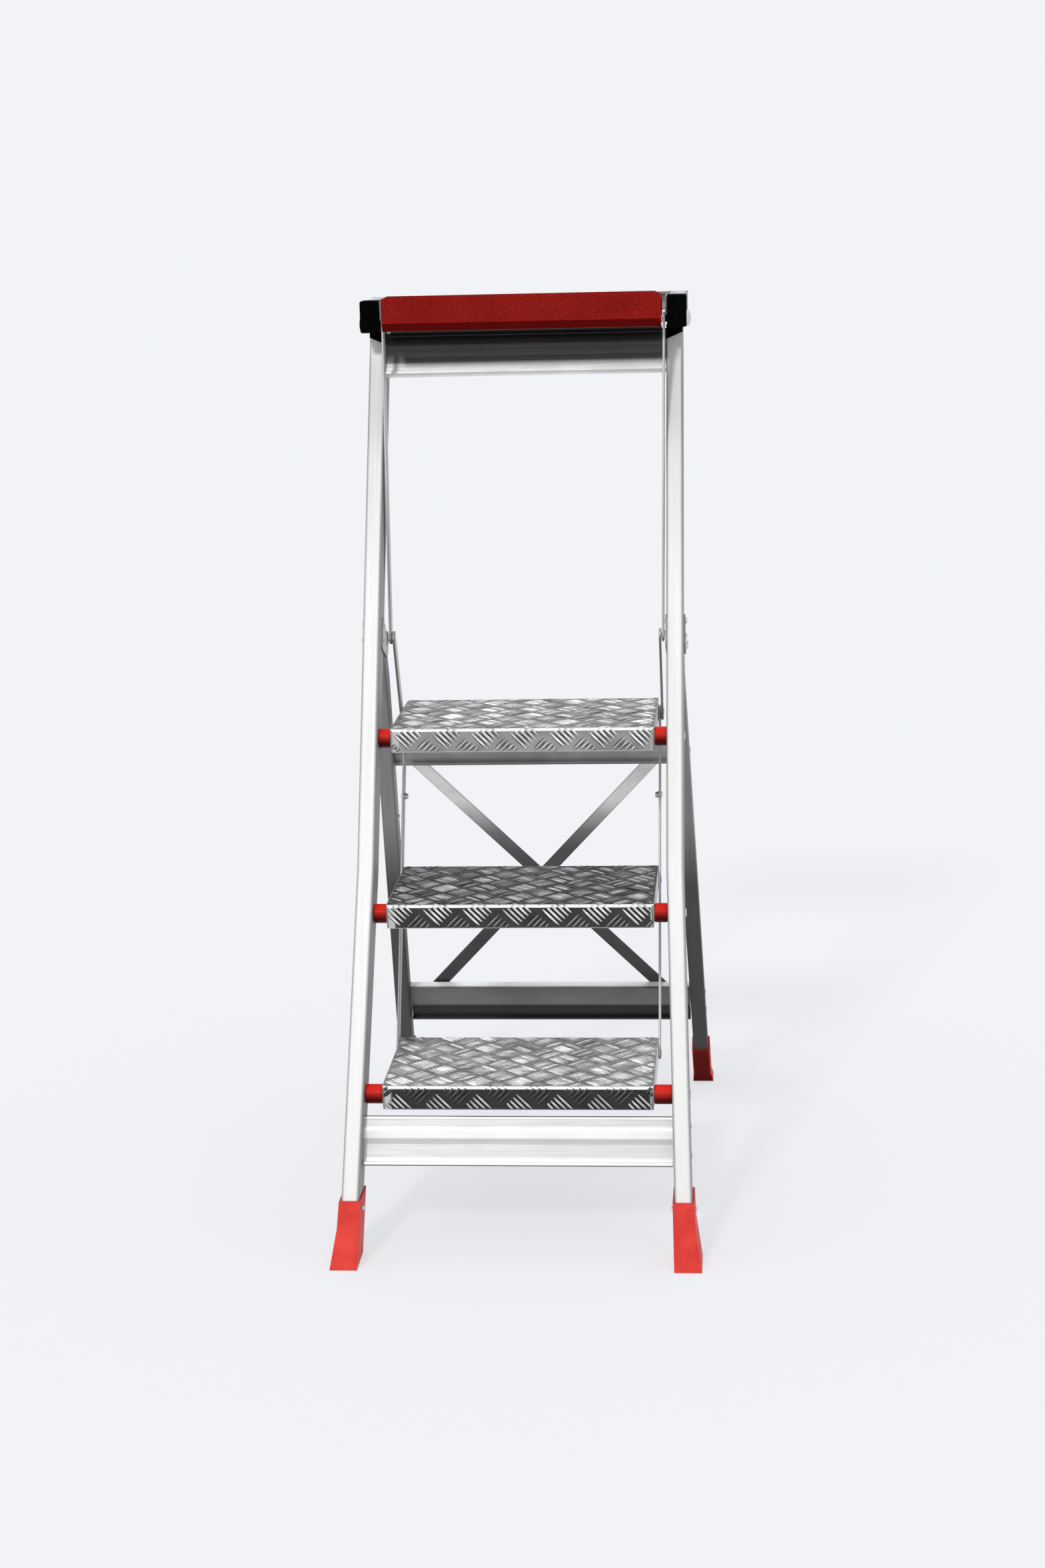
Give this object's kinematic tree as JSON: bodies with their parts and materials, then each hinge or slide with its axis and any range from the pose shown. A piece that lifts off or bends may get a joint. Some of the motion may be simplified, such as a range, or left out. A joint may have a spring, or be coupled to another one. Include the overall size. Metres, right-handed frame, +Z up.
{
  "type": "step ladder",
  "caption": "Folding aluminium step ladder with flat treads, splayed box-section frames, crossed rear braces and a tilting tool tray over the top.",
  "frame": {"origin": "on the floor, in the middle of the ladder's footprint, ladder open", "axes": "+X to the right seen from the front, +Y from the climbing side to the rear frame, +Z up"},
  "size_m": [0.4968, 0.8102, 1.229],
  "materials": {
    "aluminium": "drawn aluminium, satin",
    "tread_plate": "folded aluminium with a raised five-bar pattern",
    "steel": "plated steel",
    "red_plastic": "moulded, half gloss",
    "tray_plastic": "moulded, half gloss",
    "black_plastic": "moulded, fine grain"
  },
  "bodies": {
    "front_frame": {"stile_left": "aluminium", "stile_right": "aluminium", "front_crossbar_low": "aluminium", "front_crossbar_high": "aluminium", "frame_rivets": "steel", "front_foot_left": "red_plastic", "front_foot_right": "red_plastic", "front_foot_rivets": "steel", "axle_bottom": "steel", "axle_middle": "steel", "axle_top": "steel", "bushes_bottom": "red_plastic", "bushes_middle": "red_plastic", "bushes_top": "red_plastic", "stay_left": "aluminium", "stay_right": "aluminium", "hinge_plate_outer_left": "aluminium", "hinge_plate_outer_right": "aluminium", "hinge_plate_inner_left": "aluminium", "hinge_plate_inner_right": "aluminium", "hinge_plate_rivets": "steel", "hinge_pins": "steel", "bracket_pins": "steel", "corner_joint_left": "black_plastic", "corner_joint_right": "black_plastic", "arm_left": "aluminium", "arm_right": "aluminium", "arm_cap_left": "black_plastic", "arm_cap_right": "black_plastic", "side_strip_left": "aluminium", "side_strip_right": "aluminium", "rear_rail": "aluminium", "tray_bolts": "steel", "bolt_spacers": "black_plastic"},
    "step_top": {"tread_top": "tread_plate", "link_pins_top": "steel"},
    "step_middle": {"tread_middle": "tread_plate", "link_pins_middle": "steel"},
    "step_bottom": {"tread_bottom": "tread_plate", "link_pins_bottom": "steel"},
    "link_pair": {"link_left": "aluminium", "link_right": "aluminium", "link_bolts": "steel"},
    "left_hanger": {"hanger_left": "aluminium"},
    "right_hanger": {"hanger_right": "aluminium"},
    "tray": {"tool_tray": "tray_plastic"},
    "rear_frame": {"rear_leg_left": "aluminium", "rear_leg_right": "aluminium", "leg_cap_left": "black_plastic", "leg_cap_right": "black_plastic", "rear_crossbar_high": "aluminium", "rear_crossbar_low": "aluminium", "brace_front": "aluminium", "brace_rear": "aluminium", "rear_rivets": "steel", "rear_foot_left": "red_plastic", "rear_foot_right": "red_plastic", "rear_foot_rivets": "steel"}
  },
  "joints": [
    {"name": "rear_frame_hinge", "type": "hinge", "parent": "front_frame", "child": "rear_frame", "pos_m": [0, 0.02038, 0.74883], "axis": [1, 0, 0], "range_deg": [-44, 0]},
    {"name": "step_top_hinge", "type": "hinge", "parent": "front_frame", "child": "step_top", "pos_m": [0, -0.07665, 0.64], "axis": [1, 0, 0], "range_deg": [0, 56]},
    {"name": "step_middle_hinge", "type": "hinge", "parent": "front_frame", "child": "step_middle", "pos_m": [0, -0.17924, 0.42], "axis": [1, 0, 0], "range_deg": [0, 56]},
    {"name": "step_bottom_hinge", "type": "hinge", "parent": "front_frame", "child": "step_bottom", "pos_m": [0, -0.28182, 0.2], "axis": [1, 0, 0], "range_deg": [0, 56]},
    {"name": "link_pair_pivot", "type": "hinge", "parent": "step_top", "child": "link_pair", "pos_m": [0, 0.10035, 0.64], "axis": [1, 0, 0], "range_deg": [-56, 0]},
    {"name": "left_hanger_pivot", "type": "hinge", "parent": "front_frame", "child": "left_hanger", "pos_m": [0, 0.03338, 0.76083], "axis": [1, 0, 0], "range_deg": [-54, 0]},
    {"name": "right_hanger_pivot", "type": "hinge", "parent": "front_frame", "child": "right_hanger", "pos_m": [0, 0.03338, 0.76083], "axis": [1, 0, 0], "range_deg": [-54, 0]},
    {"name": "tray_hinge", "type": "hinge", "parent": "front_frame", "child": "tray", "pos_m": [0, 0.10076, 1.19], "axis": [1, 0, 0], "range_deg": [0, 85]}
  ],
  "couplings": [
    {"joint": "step_top_hinge", "follows": "rear_frame_hinge", "ratio": -1.2727},
    {"joint": "step_middle_hinge", "follows": "rear_frame_hinge", "ratio": -1.2727},
    {"joint": "step_bottom_hinge", "follows": "rear_frame_hinge", "ratio": -1.2727},
    {"joint": "link_pair_pivot", "follows": "rear_frame_hinge", "ratio": 1.2727}
  ]
}
